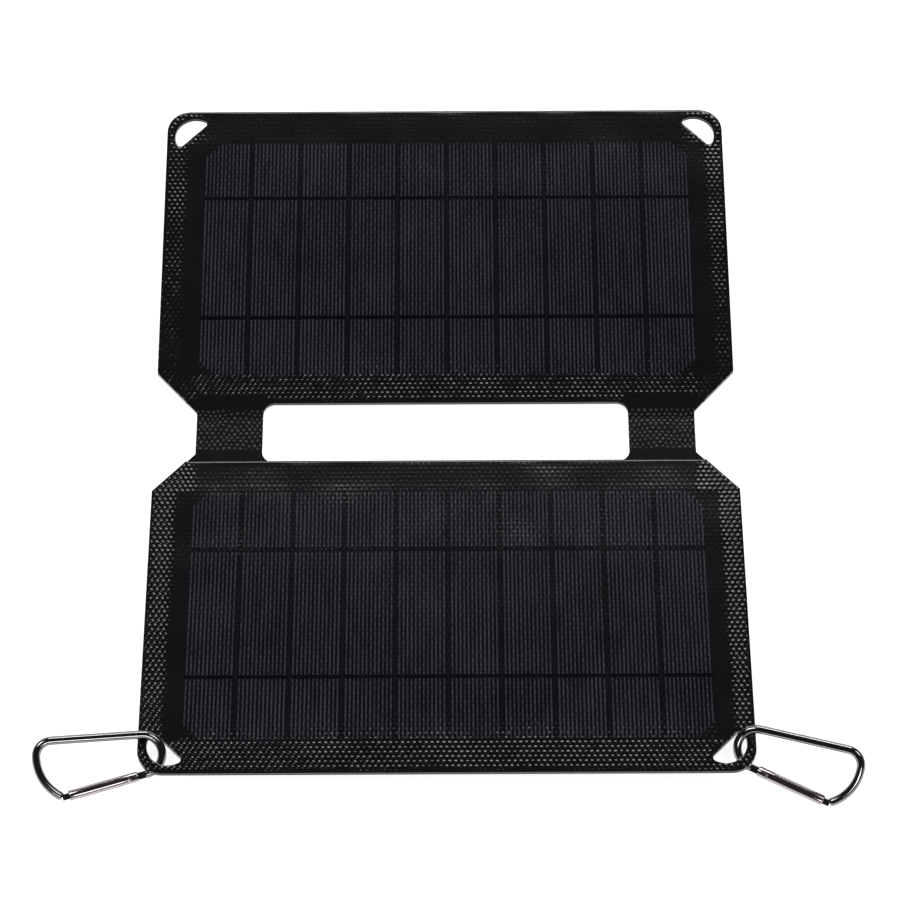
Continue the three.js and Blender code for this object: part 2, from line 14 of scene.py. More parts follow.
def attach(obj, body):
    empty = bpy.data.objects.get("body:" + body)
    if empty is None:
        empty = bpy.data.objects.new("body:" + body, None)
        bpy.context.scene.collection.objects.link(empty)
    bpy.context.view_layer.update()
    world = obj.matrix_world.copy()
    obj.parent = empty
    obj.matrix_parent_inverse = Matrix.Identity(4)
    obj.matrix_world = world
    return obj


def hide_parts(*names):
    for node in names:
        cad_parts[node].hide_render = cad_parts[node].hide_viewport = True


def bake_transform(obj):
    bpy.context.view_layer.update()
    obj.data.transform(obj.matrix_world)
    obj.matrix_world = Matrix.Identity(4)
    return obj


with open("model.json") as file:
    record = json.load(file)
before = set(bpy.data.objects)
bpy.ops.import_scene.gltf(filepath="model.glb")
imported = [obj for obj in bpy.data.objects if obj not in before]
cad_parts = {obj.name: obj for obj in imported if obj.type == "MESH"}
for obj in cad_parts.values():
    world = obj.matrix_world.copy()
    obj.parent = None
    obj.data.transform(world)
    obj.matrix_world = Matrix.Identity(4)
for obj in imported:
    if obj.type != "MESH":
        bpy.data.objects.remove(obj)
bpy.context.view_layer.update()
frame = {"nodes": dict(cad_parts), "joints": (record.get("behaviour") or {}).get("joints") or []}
MM = 0.001
RNG = np.random.default_rng(7)
JOINT = {j["name"]: j for j in frame["joints"]}
FOLD_MIDDLE = (Vector(JOINT["upper_fold"]["pos_m"]) + Vector(JOINT["lower_fold"]["pos_m"])) / 2

# Panel measures, outwards (+Y) from the middle of the fold.
PANEL_HALF = 135.0
SLOT_HALF = 15.3
PANEL_END = 172.45
CORNER_R = 11.0
CHAMFER_IN = (115.9, 10.8)
CHAMFER_OUT = (135.0, 31.0)
STRAP = (85.0, 115.9)
SLOT_CORNER_R = 5.5
HINGE_Y = 7.5
HINGE_Z = 0.5
LOWER_LEAN = math.radians(2.1)
UPPER_LEAN = math.radians(4.6)
PANEL_TOP = 2.3
POCKET_TOP = 1.88
FILM_BASE = 0.65
CLOTH_TOP = 0.5
STRIP_PITCH = 23.54
FINGER_PITCH = 1.81
CELL_MIDDLE = {"lower": (-0.8, 94.1), "upper": (0.8, 92.0)}
CELL_HALF_HEIGHT = 62.5
CELL_HALF_WIDTH = 117.1
CELL_CHAMFER = 8.0
EYELET_R = 9.7
EYELET_CENTRE = 13.6
EYELET_CHORD = 0.45
EYELET_TIP_R = 1.8

# Film dimples: rows across the panel, every second row shifted by half a pitch.
DIMPLE_PITCH = (2.58, 2.235)
DIMPLE_SPLIT = 3
DIMPLE_HEIGHT = 0.10
DIMPLE_POLISH = 0.08
# Each dimple's own size, by row and column; the table repeats.
DIMPLE_SIZES = RNG.uniform(0.78, 1.22, (97, 131))
# How far they stand out: over the cells, beside them, at the fold end and at the outer end.
DIMPLE_LEVELS = {"lower": (0.2, 1.05, 0.16, 1.0), "upper": (0.2, 0.66, 1.0, 0.1)}
# They are lower in a band round the cells, which ends over a run (start, length) beyond them,
# and gone over the strap roots (x from, x to, y to).
SUNK_LEVEL = 0.12
SUNK_BAND_END = (6.5, 3.5)
STRAP_ROOT = (82.0, 118.0, 20.2)

# Film height: a drop round the cells and rounded rims; the pocket's inset and cut corners.
DROP_DEPTH = 0.04
RIM_ROUND = 0.14
RIM_WIDTH = 0.5
CELL_POCKET = (4.7, 30.4)

# Slow unevenness of the laminate: radians per millimetre, heading and phase of each wave.
WAVE_COUNT = 9
WAVES = [(math.tau / RNG.uniform(14, 45), RNG.uniform(0, math.pi), RNG.uniform(0, math.tau))
         for _ in range(WAVE_COUNT)]
WAVE_SLOPE = 0.004

# Look of the cells under the film. An edge is (where it fades out, where it is full).
SILICON_EDGE = (11.3, 11.0)
FINGER_ENDS = (10.95, 10.75)
FINGER_EDGE = (0.3, 0.12)
RIBBON_AT = 32.1
RIBBON_EDGE = (1.25, 0.85)
MARGIN_TONES = ((0.0072, 0.0060, 0.0080), (0.0105, 0.0090, 0.0115))
CELL_TONES = ((0.0042, 0.0032, 0.0056), (0.0062, 0.0050, 0.0094))
RIBBON_TONE = (0.0030, 0.0028, 0.0052)
FINGER_TONE = (0.074, 0.065, 0.080)

# Strap, outwards from the middle of the fold: edges of its dimpled band, whose dimple tops carry
# painted glints, its two faces, the runs (start, length) over which it lifts and leans, and in
# metres where it bends.
STRAP_PATTERN = ((-9.0, -7.6), (12.6, 11.2))
# STRAP_TONES: the coating's dark tone, and the lighter tone of the painted glints on the dimple
# tops.
STRAP_TONES = ((0.0120, 0.0105, 0.0125), (0.165, 0.148, 0.162))
STRAP_STEPS = 30
STRAP_BASE = 0.03
STRAP_TOP = 1.0
STRAP_LIFT = {"lower": 0.0, "upper": 1.2}
STRAP_LIFT_RUN = (8.4, 6.9)
STRAP_LEAN_RUN = (HINGE_Y - 1.5, 3.0)

# Carabiner, spine along +X from the narrow end, gate on the +Y side. Places along the gate are
# measured from its root.
WIRE_R = 1.9
NARROW_R = 8.7
SPINE_LENGTH = 39.05
SHOULDER_R = 6.7
SHOULDER_TURN = 88.0
NOSE_R = 20.0
NOSE_TURN = 63.0
GATE_ANGLE = math.radians(12)
GATE_R = 2.3
GATE_SPAN = (4.1, 35.0)
STUB_END = 0.8
RIVET_AT = 8.3
RIVET_R = 0.75
TANG_HALF = 1.5
TANG_THICKNESS = 1.5
FORK_HALF = 1.05
FORK_DEPTH = 4.1
NOSE_TANG = (31.6, 37.9)
PIN_AT = 33.6
PIN_R = 0.6
BORE_R = 1.3
BORE_SPAN = (10.9, 21.6)
CUT_WIDTH = 9.0
# Rounded ends of the wire and the gate, and how far in the middle of the gate's round lies.
WIRE_END_ROUND = 0.35
GATE_END_ROUND = 0.45
GATE_END_SHY = 0.13
# How each carabiner sits in its eyelet: where the wire crosses the panel, in from its side and
# end, and the angles in degrees at which it lies there.
SEATS = {
    "left": dict(side=1, inset=10.3, end=12.8, heading=17.2, tilt=33, drift=12, bend=74),
    "right": dict(side=-1, inset=8, end=13.5, heading=27.5, tilt=39, drift=12, bend=88),
}


# ---------------------------------------------------------------- frames and plain mesh tools

def panel_frame(joint, lean, turn):
    """Row-frame matrix of a panel's own frame: y out from the fold, z up from its back face."""
    hinge = Matrix.Translation(Vector(JOINT[joint]["pos_m"]))
    turned = Matrix.Rotation(turn, 4, "Z") @ Matrix.Rotation(lean, 4, "X")
    return hinge @ turned @ Matrix.Translation((0, -HINGE_Y * MM, -HINGE_Z * MM))


LOWER = panel_frame("lower_fold", LOWER_LEAN, math.pi)
UPPER = panel_frame("upper_fold", UPPER_LEAN, 0.0)
PANELS = {"lower": (LOWER, "lower_panel"), "upper": (UPPER, "upper_panel")}


def mesh_object(name, points, faces, matrix, material, smooth=True):
    """An object from points in millimetres."""
    mesh = bpy.data.meshes.new(name)
    mesh.from_pydata([tuple(float(c) * MM for c in p) for p in points], [], faces)
    mesh.validate()
    mesh.materials.append(material)
    if smooth:
        mesh.shade_smooth()
    else:
        mesh.shade_flat()
    obj = bpy.data.objects.new(name, mesh)
    bpy.context.scene.collection.objects.link(obj)
    obj.matrix_world = matrix
    return obj


def recalculate(obj):
    bm = bmesh.new()
    bm.from_mesh(obj.data)
    bmesh.ops.recalc_face_normals(bm, faces=bm.faces)
    bm.to_mesh(obj.data)
    bm.free()


def closed_object(name, points, faces, material, matrix=Matrix.Identity(4), smooth=True):
    """The same for a closed mesh, with its faces turned outwards."""
    obj = mesh_object(name, points, faces, matrix, material, smooth)
    recalculate(obj)
    return obj


def sharpen(obj, degrees):
    """Keeps edges steeper than the angle crisp on a smooth-shaded mesh."""
    bm = bmesh.new()
    bm.from_mesh(obj.data)
    limit = math.radians(degrees)
    for edge in bm.edges:
        edge.smooth = len(edge.link_faces) == 2 and edge.calc_face_angle(0) < limit
    for face in bm.faces:
        face.smooth = True
    bm.to_mesh(obj.data)
    bm.free()


def apply_modifiers(obj):
    bpy.context.view_layer.update()
    graph = bpy.context.evaluated_depsgraph_get()
    made = bpy.data.meshes.new_from_object(obj.evaluated_get(graph))
    obj.modifiers.clear()
    obj.data = made


def bevel_edges(obj, width, segments):
    """Rounds the sharp edges by a width in millimetres."""
    bevel = obj.modifiers.new("edge", "BEVEL")
    bevel.width = width * MM
    bevel.segments = segments
    bevel.limit_method = "ANGLE"
    bevel.angle_limit = math.radians(50)
    apply_modifiers(obj)


def place(obj, body, slot, *nodes):
    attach(obj, body)
    if nodes:
        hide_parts(*nodes)


# ---------------------------------------------------------------- node materials

class Shader:
    """Short-hand for building one node material."""

    def __init__(self, name, color=(0.5, 0.5, 0.5), roughness=0.5, metallic=0.0, **sockets):
        self.material = bpy.data.materials.new(name)
        self.material.use_nodes = True
        self.tree = self.material.node_tree
        self.bsdf = self.tree.nodes["Principled BSDF"]
        self.bsdf.inputs["Base Color"].default_value = (*color, 1)
        self.bsdf.inputs["Roughness"].default_value = roughness
        self.bsdf.inputs["Metallic"].default_value = metallic
        for socket, value in sockets.items():
            self.bsdf.inputs[socket.replace("_", " ")].default_value = value
        self.coordinates = self.tree.nodes.new("ShaderNodeTexCoord").outputs["Object"]

    def link(self, source, socket):
        if hasattr(source, "links"):
            self.tree.links.new(source, socket)
        else:
            socket.default_value = source

    def math(self, operation, *values):
        node = self.tree.nodes.new("ShaderNodeMath")
        node.operation = operation
        for value, socket in zip(values, node.inputs):
            self.link(value, socket)
        return node.outputs[0]

    def millimetres(self):
        node = self.tree.nodes.new("ShaderNodeSeparateXYZ")
        self.link(self.coordinates, node.inputs[0])
        return [self.math("MULTIPLY", out, 1000.0) for out in node.outputs]

    def attribute(self, name, output="Fac"):
        node = self.tree.nodes.new("ShaderNodeAttribute")
        node.attribute_name = name
        return node.outputs[output]

    def noise(self, scale, detail=3.0, stretch=(1, 1, 1), roughness=0.5):
        mapping = self.tree.nodes.new("ShaderNodeMapping")
        mapping.inputs["Scale"].default_value = stretch
        self.link(self.coordinates, mapping.inputs["Vector"])
        node = self.tree.nodes.new("ShaderNodeTexNoise")
        self.link(mapping.outputs[0], node.inputs["Vector"])
        node.inputs["Scale"].default_value = scale
        node.inputs["Detail"].default_value = detail
        node.inputs["Roughness"].default_value = roughness
        return node.outputs["Fac"]

    def step(self, value, low, high):
        """Smooth step of value from 0 at low to 1 at high."""
        node = self.tree.nodes.new("ShaderNodeMapRange")
        node.interpolation_type = "SMOOTHSTEP"
        for socket, item in (("Value", value), ("From Min", low), ("From Max", high)):
            self.link(item, node.inputs[socket])
        return node.outputs["Result"]

    def ramp(self, value, low, high, out_low, out_high):
        node = self.tree.nodes.new("ShaderNodeMapRange")
        items = (("Value", value), ("From Min", low), ("From Max", high),
                 ("To Min", out_low), ("To Max", out_high))
        for socket, item in items:
            self.link(item, node.inputs[socket])
        return node.outputs["Result"]

    def spread(self, noise, low, high):
        """The usual range of a noise, stretched from low to high."""
        return self.ramp(noise, 0.3, 0.7, low, high)

    def repeated(self, value, pitch):
        """Place within each repeat of the pitch, from -0.5 to 0.5 of it."""
        return self.math("SUBTRACT", self.math("FRACT", self.math("DIVIDE", value, pitch)), 0.5)

    def mix(self, factor, first, second):
        node = self.tree.nodes.new("ShaderNodeMix")
        node.data_type = "RGBA"
        self.link(factor, node.inputs["Factor"])
        for item, socket in ((first, node.inputs["A"]), (second, node.inputs["B"])):
            if isinstance(item, tuple):
                socket.default_value = (*item, 1)
            else:
                self.link(item, socket)
        return node.outputs["Result"]

    def color(self, source):
        self.link(source, self.bsdf.inputs["Base Color"])

    def roughness(self, source):
        self.link(source, self.bsdf.inputs["Roughness"])

    def bump(self, height, distance, strength=1.0):
        """Relief of the given height field; distance is in millimetres."""
        node = self.tree.nodes.new("ShaderNodeBump")
        node.inputs["Strength"].default_value = strength
        node.inputs["Distance"].default_value = distance * MM
        self.link(height, node.inputs["Height"])
        self.link(node.outputs[0], self.bsdf.inputs["Normal"])


def hex_waves(s, x, y):
    """Smooth field that is 1 on each film dimple and -0.5 between them."""
    dx, dy = DIMPLE_PITCH
    turn_x = s.math("MULTIPLY", x, math.tau / dx)
    turn_y = s.math("MULTIPLY", y, math.tau / (2 * dy))
    first = s.math("COSINE", s.math("ADD", turn_x, turn_y))
    second = s.math("COSINE", s.math("SUBTRACT", turn_x, turn_y))
    third = s.math("COSINE", s.math("MULTIPLY", turn_y, 2.0))
    return s.math("DIVIDE", s.math("ADD", s.math("ADD", first, second), third), 3.0)


def strip_pattern(s, x):
    """Distance from the middle of each cell strip, and from each of its finger lines in pitches."""
    in_strip = s.math("MULTIPLY", s.repeated(x, STRIP_PITCH), STRIP_PITCH)
    return s.math("ABSOLUTE", in_strip), s.math("ABSOLUTE", s.repeated(in_strip, FINGER_PITCH))


def film_material(name, middle):
    """The film with the printed look of the cells that it covers; it shines and they don't."""
    s = Shader(name, roughness=0.2, IOR=1.45)
    film_x, film_y, _ = s.millimetres()
    x = s.math("SUBTRACT", film_x, middle[0])
    across = s.math("ABSOLUTE", x)
    up = s.math("ABSOLUTE", s.math("SUBTRACT", film_y, middle[1]))
    inside = s.math("MULTIPLY", s.step(across, CELL_HALF_WIDTH, CELL_HALF_WIDTH - 0.5),
                    s.step(up, CELL_HALF_HEIGHT, CELL_HALF_HEIGHT - 0.5))
    reach = CELL_HALF_WIDTH + CELL_HALF_HEIGHT - CELL_CHAMFER
    inside = s.math("MULTIPLY", inside, s.step(s.math("ADD", across, up), reach, reach - 0.6))
    in_strip, in_pitch = strip_pattern(s, x)
    silicon = s.math("MULTIPLY", inside, s.step(in_strip, *SILICON_EDGE))
    ribbon = s.step(s.math("ABSOLUTE", s.math("SUBTRACT", up, RIBBON_AT)), *RIBBON_EDGE)
    finger = s.math("MULTIPLY", s.step(in_pitch, *FINGER_EDGE), s.step(in_strip, *FINGER_ENDS))
    finger = s.math("MULTIPLY", finger, s.math("SUBTRACT", 1.0, ribbon))
    finger = s.math("MULTIPLY", finger, silicon)
    patch = s.noise(16.0, 2.0)
    streak = s.noise(300.0, 2.0, (1, 0.25, 1))
    dimples = hex_waves(s, film_x, film_y)
    strength = s.math("MULTIPLY", s.spread(patch, 0.75, 1.15), s.spread(streak, 0.6, 1.3))
    # Painted light: the finger lines are brightened over each dimple and dimmed between dimples, in
    # place of the dimples' lens effect on the lines under the film.
    painted_lens_light = s.ramp(dimples, -0.5, 1.0, 0.55, 1.35)
    finger = s.math("MULTIPLY", s.math("MULTIPLY", finger, strength), painted_lens_light)
    margin = s.mix(s.spread(s.noise(40.0), 0, 1), *MARGIN_TONES)
    cell = s.mix(s.ramp(patch, 0.35, 0.65, 0, 1), *CELL_TONES)
    base = s.mix(silicon, margin, cell)
    base = s.mix(s.math("MULTIPLY", ribbon, silicon), base, RIBBON_TONE)
    s.color(s.mix(finger, base, FINGER_TONE))
    s.roughness(s.spread(s.noise(900.0, 2.0), 0.10, 0.16))
    relief = s.math("MULTIPLY", dimples, s.attribute("relief"))
    grain = s.math("MULTIPLY", s.noise(1400.0, 2.0), 0.08)
    s.bump(s.math("ADD", relief, grain), DIMPLE_POLISH)
    return s.material


def weave(s, pitch, depth, light, gap_shade_tone):
    """Plain weave of the given thread pitch over the object's x and y; the colour darkens from each
    thread's crown towards the gaps between threads as painted shade.
    """
    x, y, _ = s.millimetres()
    turn = math.pi / pitch
    warp = s.math("ABSOLUTE", s.math("SINE", s.math("MULTIPLY", x, turn)))
    weft = s.math("ABSOLUTE", s.math("SINE", s.math("MULTIPLY", y, turn)))
    cell = s.math("ADD", s.math("FLOOR", s.math("DIVIDE", x, pitch)),
                  s.math("FLOOR", s.math("DIVIDE", y, pitch)))
    over = s.math("GREATER_THAN", s.math("MODULO", s.math("ADD", cell, 1000.0), 2.0), 0.5)
    height = s.math("ADD", s.math("MULTIPLY", warp, over),
                    s.math("MULTIPLY", weft, s.math("SUBTRACT", 1.0, over)))
    fleck = s.spread(s.noise(350.0), 0.7, 1.2)
    # Painted shade: the low parts of the weave, between the threads, take the darker tone.
    s.color(s.mix(s.math("MULTIPLY", height, fleck), gap_shade_tone, light))
    s.bump(height, depth)


def cloth_material():
    s = Shader("back_cloth_weave", roughness=0.82, Sheen_Weight=0.12)
    # The second tone is the painted shade in the gaps between threads.
    weave(s, 0.55, 0.09, (0.020, 0.020, 0.022), (0.006, 0.006, 0.007))
    return s.material


def strap_material():
    """Smooth coating with a wrinkled run of film dimples across the fold, their tops lightened in
    the colour as painted glints.
    """
    s = Shader("strap_film", roughness=0.25, IOR=1.28)
    s.coordinates = s.attribute("strap_place", "Vector")
    x, y, _ = s.millimetres()
    sway = s.spread(s.noise(95.0, 2.0, (1, 1.6, 1)), -0.9, 0.9)
    drift = s.spread(s.noise(60.0, 2.0), -0.7, 0.7)
    dots = hex_waves(s, s.math("ADD", x, drift), s.math("ADD", s.math("MULTIPLY", y, 1.12), sway))
    wrinkle = s.noise(330.0, 3.0, (0.45, 1.5, 1), 0.6)
    near, far = STRAP_PATTERN
    dimpled_glint_zone = s.math("MULTIPLY", s.step(y, *near), s.step(y, *far))
    height = s.math("MULTIPLY", s.math("ADD", dots, wrinkle), dimpled_glint_zone)
    # Painted glints: the dimple tops in the band take the lighter tone, standing in for light
    # caught by the dimples.
    painted_dimple_glints = s.math("MULTIPLY", s.step(dots, 0.05, 0.9), s.ramp(wrinkle, 0.3, 0.66, 0.15, 1.0))
    painted_dimple_glints = s.math("MULTIPLY", painted_dimple_glints, dimpled_glint_zone)
    s.color(s.mix(painted_dimple_glints, *STRAP_TONES))
    s.roughness(s.ramp(dimpled_glint_zone, 0, 1, 0.12, 0.16))
    s.bump(height, 0.035)
    return s.material


def plastic_material(name, color, roughness=0.5, grain=0.02):
    s = Shader(name, roughness=roughness)
    lighter = tuple(c * 1.5 for c in color)
    s.color(s.mix(s.ramp(s.noise(90.0), 0.35, 0.65, 0, 1), color, lighter))
    s.roughness(s.spread(s.noise(420.0), roughness - 0.07, roughness + 0.07))
    s.bump(s.noise(2600.0, 2.0), grain)
    return s.material


def metal_material(name, color, low, high, brush=(1, 1, 1), grain=0.004, edge=1.0):
    """Metal with a slightly uneven polish; edge darkens what it mirrors at a glancing angle."""
    s = Shader(name, color, low, 1.0, Specular_Tint=(edge, edge, edge, 1))
    s.roughness(s.spread(s.noise(500.0, 3.0, brush), low, high))
    darker = tuple(c * 0.88 for c in color)
    s.color(s.mix(s.ramp(s.noise(160.0), 0.4, 0.65, 0, 1), color, darker))
    s.bump(s.noise(900.0, 2.0, brush), grain, 0.6)
    return s.material


def board_material():
    """Solder mask with slanted tracks in patches."""
    s = Shader("solder_mask", roughness=0.35)
    x, y, _ = s.millimetres()
    line = s.math("ABSOLUTE", s.repeated(s.math("ADD", x, y), 2.2))
    track = s.math("MULTIPLY", s.step(line, 0.14, 0.08), s.step(s.noise(90.0), 0.5, 0.53))
    s.color(s.mix(track, (0.008, 0.055, 0.022), (0.02, 0.11, 0.045)))
    s.bump(track, 0.03)
    return s.material


def cell_material():
    s = Shader("silicon_cell", roughness=0.3, IOR=1.6)
    x, _, _ = s.millimetres()
    fold_x = JOINT["upper_fold"]["pos_m"][0] / MM
    in_pitch = strip_pattern(s, s.math("SUBTRACT", x, fold_x))[1]
    finger = s.step(in_pitch, 0.12, 0.06)
    s.color(s.mix(finger, (0.012, 0.010, 0.022), (0.32, 0.32, 0.34)))
    s.roughness(s.ramp(finger, 0, 1, 0.22, 0.5))
    return s.material


def make_materials():
    """The materials by the names that the builders below use."""
    return {
        "lower_film": film_material("film_over_lower_cells", CELL_MIDDLE["lower"]),
        "upper_film": film_material("film_over_upper_cells", CELL_MIDDLE["upper"]),
        "cloth": cloth_material(),
        "strap": strap_material(),
        "cell": cell_material(),
        "circuit": board_material(),
        "laminate": plastic_material("glass_fibre_board", (0.03, 0.07, 0.045), 0.6),
        "ribbon": metal_material("cell_ribbon_metal", (0.35, 0.35, 0.36), 0.3, 0.45, (0.1, 1, 1)),
        "housing": plastic_material("housing_plastic", (0.010, 0.010, 0.0115), 0.52, 0.035),
        "insulator": plastic_material("socket_insulator", (0.012, 0.012, 0.013), 0.45),
        "lens": plastic_material("light_pipe_clear", (0.55, 0.58, 0.6), 0.15, 0.004),
        "ferrite": plastic_material("ferrite_grey", (0.05, 0.05, 0.055), 0.7, 0.03),
        "tin": metal_material("socket_tin", (0.60, 0.61, 0.62), 0.22, 0.36, (1, 0.1, 1)),
        "screw": metal_material("screw_steel", (0.42, 0.43, 0.45), 0.28, 0.42),
        "spring": metal_material("spring_steel", (0.50, 0.51, 0.53), 0.22, 0.34),
        "chrome": metal_material("polished_wire", (0.30, 0.29, 0.29), 0.06, 0.13, edge=0.55),
        "gate": metal_material("gate_metal", (0.46, 0.41, 0.415), 0.12, 0.22, (0.1, 1, 1),
                               edge=0.6),
    }


# ---------------------------------------------------------------- panel outline and film

def chamfer_x(y):
    (x0, y0), (x1, y1) = CHAMFER_IN, CHAMFER_OUT
    return x0 + (y - y0) * (x1 - x0) / (y1 - y0)


def arc(centre, radius, start, end, steps):
    angles = np.linspace(start, end, steps + 1)
    return [(centre[0] + radius * math.cos(a), centre[1] + radius * math.sin(a)) for a in angles]


def mirrored(right):
    return np.array(right + [(-x, y) for x, y in reversed(right)])


def panel_outline():
    centre = (PANEL_HALF - CORNER_R, PANEL_END - CORNER_R)
    corner = arc(centre, CORNER_R, 0, math.pi / 2, 12)
    return mirrored([(chamfer_x(SLOT_HALF), SLOT_HALF), CHAMFER_OUT, *corner])


def eyelet(side):
    """Half-moon outline in the outer corner, its flat side facing the middle of the panel."""
    tip_y = EYELET_CHORD + EYELET_TIP_R
    tip_x = math.sqrt((EYELET_R - EYELET_TIP_R) ** 2 - tip_y ** 2)
    lean = math.atan2(tip_y, tip_x)
    points = arc((tip_x, tip_y), EYELET_TIP_R, -math.pi / 2, lean, 6)
    points += arc((0, 0), EYELET_R, lean, math.pi - lean, 18)[1:]
    points += arc((-tip_x, tip_y), EYELET_TIP_R, math.pi - lean, 1.5 * math.pi, 6)[1:]
    turn = -side * math.pi / 4
    spin = np.array([[math.cos(turn), -math.sin(turn)], [math.sin(turn), math.cos(turn)]])
    centre = (side * (PANEL_HALF - EYELET_CENTRE), PANEL_END - EYELET_CENTRE)
    return np.array(points) @ spin.T + np.array(centre)


def inset_outline(inset, corner_cut):
    """The panel's outline moved inwards, with its outer corners cut off."""
    x = PANEL_HALF - inset
    start = SLOT_HALF + inset
    (x0, y0), (x1, y1) = CHAMFER_IN, CHAMFER_OUT
    length = math.hypot(x1 - x0, y1 - y0)
    nx, ny = x0 - inset * (y1 - y0) / length, y0 + inset * (x1 - x0) / length
    slope = (y1 - y0) / (x1 - x0)
    return mirrored([
        (nx + (start - ny) / slope, start),
        (x, ny + (x - nx) * slope),
        (x, PANEL_END - (corner_cut - inset)),
        (PANEL_HALF - (corner_cut - inset), PANEL_END - inset),
    ])


def resampled(loop, spacing):
    points = []
    for a, b in zip(loop, np.roll(loop, -1, axis=0)):
        count = max(1, int(round(np.linalg.norm(b - a) / spacing)))
        points += [a + (b - a) * i / count for i in range(count)]
    return np.array(points)


def inside_loop(points, loop):
    x, y = points[:, 0], points[:, 1]
    inside = np.zeros(len(points), bool)
    for (x0, y0), (x1, y1) in zip(loop, np.roll(loop, -1, axis=0)):
        if y0 == y1:
            continue
        crosses = (y0 > y) != (y1 > y)
        inside ^= crosses & (x < (x1 - x0) * (y - y0) / (y1 - y0) + x0)
    return inside


def between_loops(points, outer, holes):
    """Which points are inside the outer loop and outside every hole."""
    good = inside_loop(points, outer)
    for hole in holes:
        good &= ~inside_loop(points, hole)
    return good


def distance_to(points, loop):
    nearest = np.full(len(points), 1e9)
    for a, b in zip(loop, np.roll(loop, -1, axis=0)):
        edge = b - a
        t = np.clip((points - a) @ edge / (edge @ edge), 0, 1)
        nearest = np.minimum(nearest, np.linalg.norm(points - a - t[:, None] * edge, axis=1))
    return nearest


def triangulate(loops, extra, keep):
    """Triangles over the loops and extra points, filtered by their centres with keep."""
    points = [Vector(p) for loop in loops for p in loop] + [Vector(p) for p in extra]
    edges, start = [], 0
    for loop in loops:
        count = len(loop)
        edges += [(start + i, start + (i + 1) % count) for i in range(count)]
        start += count
    out = delaunay_2d_cdt(points, edges, [], 0, 1e-6, False)
    where = np.array([tuple(v) for v in out[0]])
    faces = np.array([f for f in out[2] if len(f) == 3])
    centres = where[faces].mean(axis=1)
    return where, faces[keep(centres)]


def dimple_points():
    """Grid of film points in step with the dimples."""
    dx, dy = DIMPLE_PITCH[0] / DIMPLE_SPLIT, DIMPLE_PITCH[1] / DIMPLE_SPLIT
    rows = np.arange(int(SLOT_HALF / dy), int(PANEL_END / dy) + 1)
    half = int(PANEL_HALF / dx) + 2
    grid = [np.column_stack([(np.arange(-half, half + 1) + 0.5 * (r % 2)) * dx,
                             np.full(2 * half + 1, r * dy)]) for r in rows]
    return np.concatenate(grid)


def dimple_field(points):
    """1 at each dimple's middle, -0.5 between three dimples."""
    dx, dy = DIMPLE_PITCH
    x, y = points[:, 0], points[:, 1]
    first = np.cos(math.tau * (x / dx + y / (2 * dy)))
    second = np.cos(math.tau * (x / dx - y / (2 * dy)))
    third = np.cos(math.tau * y / dy)
    return (first + second + third) / 3


def beyond_cells(points, middle):
    """Distance outwards from the rectangle of cells, negative inside it."""
    x, y = np.abs(points[:, 0] - middle[0]), np.abs(points[:, 1] - middle[1])
    return np.maximum(x - CELL_HALF_WIDTH, y - CELL_HALF_HEIGHT)


def dimple_sizes(points):
    """Every dimple has its own size."""
    row = np.rint(points[:, 1] / DIMPLE_PITCH[1]).astype(int)
    column = np.rint(points[:, 0] / DIMPLE_PITCH[0] - 0.5 * (row % 2)).astype(int)
    rows, columns = DIMPLE_SIZES.shape
    return DIMPLE_SIZES[row % rows, column % columns]


def rising(values, low, width):
    """0 up to low, then straight up to 1 over the width."""
    return np.clip((values - low) / width, 0, 1)


def dimple_strength(points, side):
    """Dimples are shallow over the cells, in the sunk band round them and over the strap roots."""
    x, y = np.abs(points[:, 0]), points[:, 1]
    middle = CELL_MIDDLE[side]
    beyond = beyond_cells(points, middle)
    along = (y - middle[1]) / CELL_HALF_HEIGHT
    over_cells, beside, inner, outer = DIMPLE_LEVELS[side]
    near_edge = along - 0.72 if side == "lower" else -0.66 - along
    cells = over_cells + 0.42 * rising(near_edge, 0, 0.26)
    ends = np.where(along > 0, outer, inner)
    out_sideways = rising(x, CELL_HALF_WIDTH - 3, 8)
    margin = ends + (beside - ends) * np.where(np.abs(along) > 1, out_sideways, 1)
    sideways = (np.abs(points[:, 0] - middle[0]) > CELL_HALF_WIDTH) & (np.abs(along) < 1)
    band = SUNK_LEVEL + (margin - SUNK_LEVEL) * rising(beyond, *SUNK_BAND_END)
    strength = np.where(beyond < 0, cells, np.where(sideways, band, margin))
    root_in, root_out, root_end = STRAP_ROOT
    root = rising(x, root_in, 4) * rising(-x, -root_out, 4) * rising(-y, -root_end, 1.5)
    return strength * (1 - root)


def slow_waves(points):
    """Gentle unevenness of the laminate."""
    total = np.zeros(len(points))
    for rate, heading, phase in WAVES:
        along = points[:, 0] * math.cos(heading) + points[:, 1] * math.sin(heading)
        total += WAVE_SLOPE / rate * np.sin(along * rate + phase)
    return total


def dimple_relief(points, outer, holes, side):
    """Distance to the nearest edge, and how much each dimple stands out, which is 0 there."""
    edge = distance_to(points, outer)
    for hole in holes:
        edge = np.minimum(edge, distance_to(points, hole))
    return edge, dimple_strength(points, side) * dimple_sizes(points) * rising(edge, 0.35, 1.2)


def film_height(points, edge, relief, side):
    """Height of the film's top: dimples, a soft drop round the cells and rounded rims."""
    drop = DROP_DEPTH * rising(beyond_cells(points, CELL_MIDDLE[side]), 1.0, 3.5)
    rim = RIM_ROUND * (1 - rising(edge, 0, RIM_WIDTH)) ** 2
    waves = slow_waves(points) * rising(edge, 0, 2)
    return PANEL_TOP - drop - rim + waves + DIMPLE_HEIGHT * dimple_field(points) * relief


